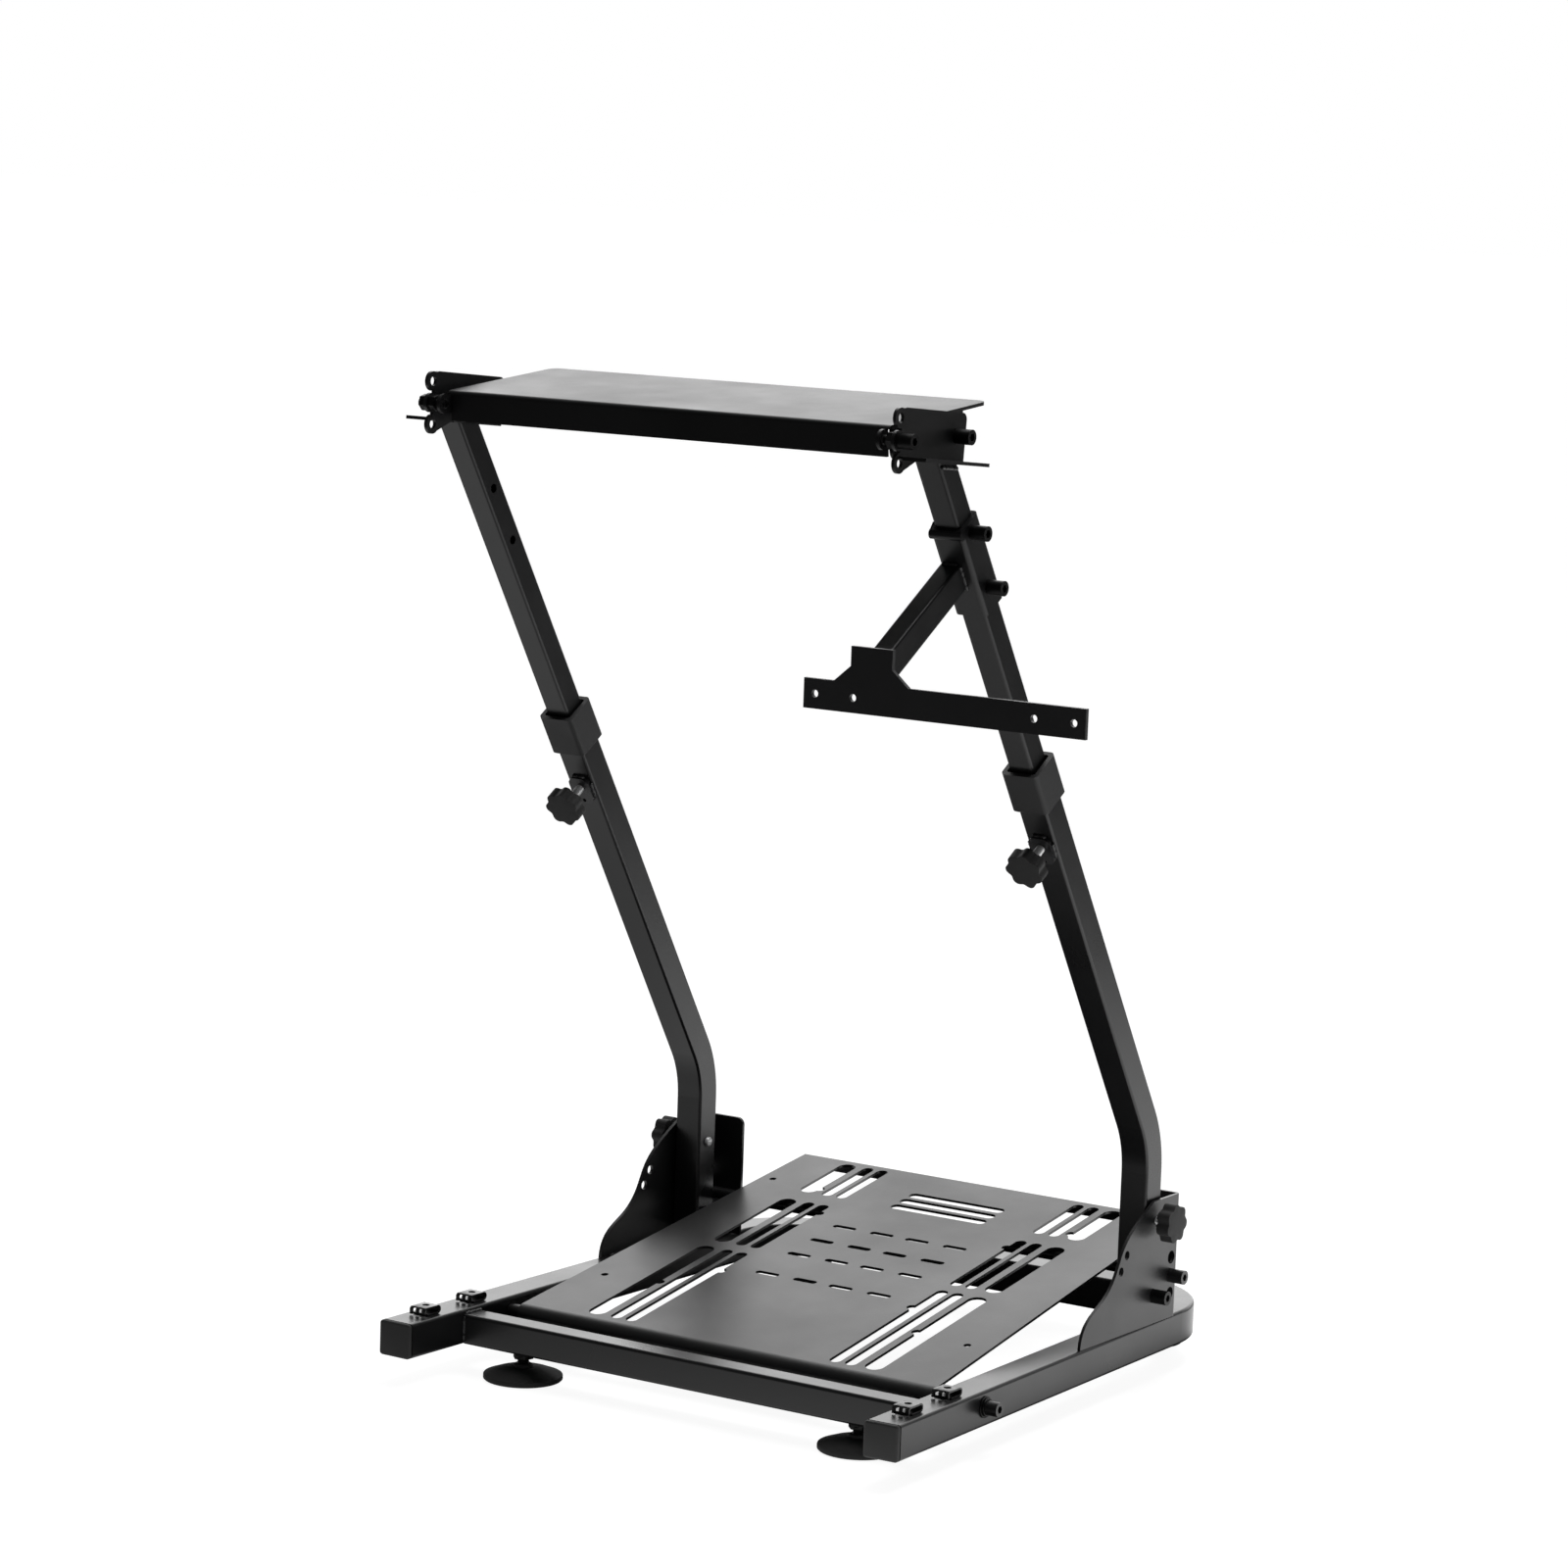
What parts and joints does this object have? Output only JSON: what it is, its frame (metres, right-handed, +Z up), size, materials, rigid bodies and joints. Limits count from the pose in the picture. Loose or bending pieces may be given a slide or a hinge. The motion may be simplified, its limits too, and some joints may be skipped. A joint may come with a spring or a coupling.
{
  "type": "racing wheel stand",
  "caption": "Folding steel stand with a tilting wheel deck, telescopic uprights, a slotted pedal plate on a bowed base frame and a bolted shifter bar.",
  "frame": {"origin": "on the floor under the middle of the base frame", "axes": "+X to the driver's right, +Y away from the driver, +Z up"},
  "size_m": [0.7291, 0.6555, 0.904],
  "materials": {
    "frame_steel": "satin black powder coat on steel tube",
    "sheet_steel": "satin black powder coat on sheet steel",
    "bolt_steel": "black oxide steel",
    "cap_plastic": "moulded dark plastic",
    "knob_plastic": "moulded black plastic with a zinc-plated stud",
    "foot_rubber": "moulded black rubber"
  },
  "bodies": {
    "base": {"rear_bow": "frame_steel", "front_crossbar": "frame_steel", "hinge_rod": "frame_steel", "rest_rod": "frame_steel", "left_side_rail": "frame_steel", "left_end_cap": "cap_plastic", "left_front_clip": "frame_steel", "left_rear_clip": "frame_steel", "left_gusset": "frame_steel", "left_pivot_bolt": "bolt_steel", "left_front_foot": "foot_rubber", "left_rear_foot": "foot_rubber", "right_side_rail": "frame_steel", "right_end_cap": "cap_plastic", "right_front_clip": "frame_steel", "right_rear_clip": "frame_steel", "right_gusset": "frame_steel", "right_pivot_bolt": "bolt_steel", "right_front_foot": "foot_rubber", "right_rear_foot": "foot_rubber"},
    "pedal_plate": {"pedal_plate": "sheet_steel"},
    "uprights": {"left_lower_tube": "frame_steel", "left_collar": "cap_plastic", "left_weld_nut": "frame_steel", "right_lower_tube": "frame_steel", "right_collar": "cap_plastic", "right_weld_nut": "frame_steel"},
    "wheel_frame": {"left_upper_tube": "frame_steel", "left_top_bracket": "frame_steel", "left_deck_pivot_bolt": "bolt_steel", "left_deck_lock_bolt": "bolt_steel", "right_upper_tube": "frame_steel", "right_top_bracket": "frame_steel", "right_deck_pivot_bolt": "bolt_steel", "right_deck_lock_bolt": "bolt_steel", "shifter_sleeve": "frame_steel", "shifter_arm": "frame_steel", "shifter_bar": "frame_steel", "lower_mount_bolt": "bolt_steel", "upper_mount_bolt": "bolt_steel"},
    "wheel_deck": {"wheel_deck": "sheet_steel"},
    "left_height_knob": {"left_height_knob": "knob_plastic"},
    "left_fold_knob": {"left_fold_knob": "knob_plastic"},
    "right_height_knob": {"right_height_knob": "knob_plastic"},
    "right_fold_knob": {"right_fold_knob": "knob_plastic"}
  },
  "joints": [
    {"name": "fold", "type": "hinge", "parent": "base", "child": "uprights", "pos_m": [0, 0.147, 0.082], "axis": [1, 0, 0], "range_deg": [0, 48]},
    {"name": "height", "type": "slide", "parent": "uprights", "child": "wheel_frame", "axis": [0, -0.5358, 0.8443], "range_m": [-0.15, 0.08]},
    {"name": "deck_tilt", "type": "hinge", "parent": "wheel_frame", "child": "wheel_deck", "pos_m": [0, -0.21562, 0.877], "axis": [1, 0, 0], "range_deg": [-12, 12]},
    {"name": "pedal_lift", "type": "hinge", "parent": "base", "child": "pedal_plate", "pos_m": [0, -0.15629, 0.04203], "axis": [1, 0, 0], "range_deg": [0, 45]},
    {"name": "left_height_knob_turn", "type": "hinge", "parent": "uprights", "child": "left_height_knob", "pos_m": [-0.2455, -0.04375, 0.52458], "axis": [0, -0.8443, -0.5358], "continuous": true},
    {"name": "left_fold_knob_turn", "type": "hinge", "parent": "base", "child": "left_fold_knob", "pos_m": [-0.274, 0.147, 0.1525], "axis": [-1, 0, 0], "continuous": true},
    {"name": "right_height_knob_turn", "type": "hinge", "parent": "uprights", "child": "right_height_knob", "pos_m": [0.2455, -0.04375, 0.52458], "axis": [0, -0.8443, -0.5358], "continuous": true},
    {"name": "right_fold_knob_turn", "type": "hinge", "parent": "base", "child": "right_fold_knob", "pos_m": [0.274, 0.147, 0.1525], "axis": [1, 0, 0], "continuous": true}
  ]
}
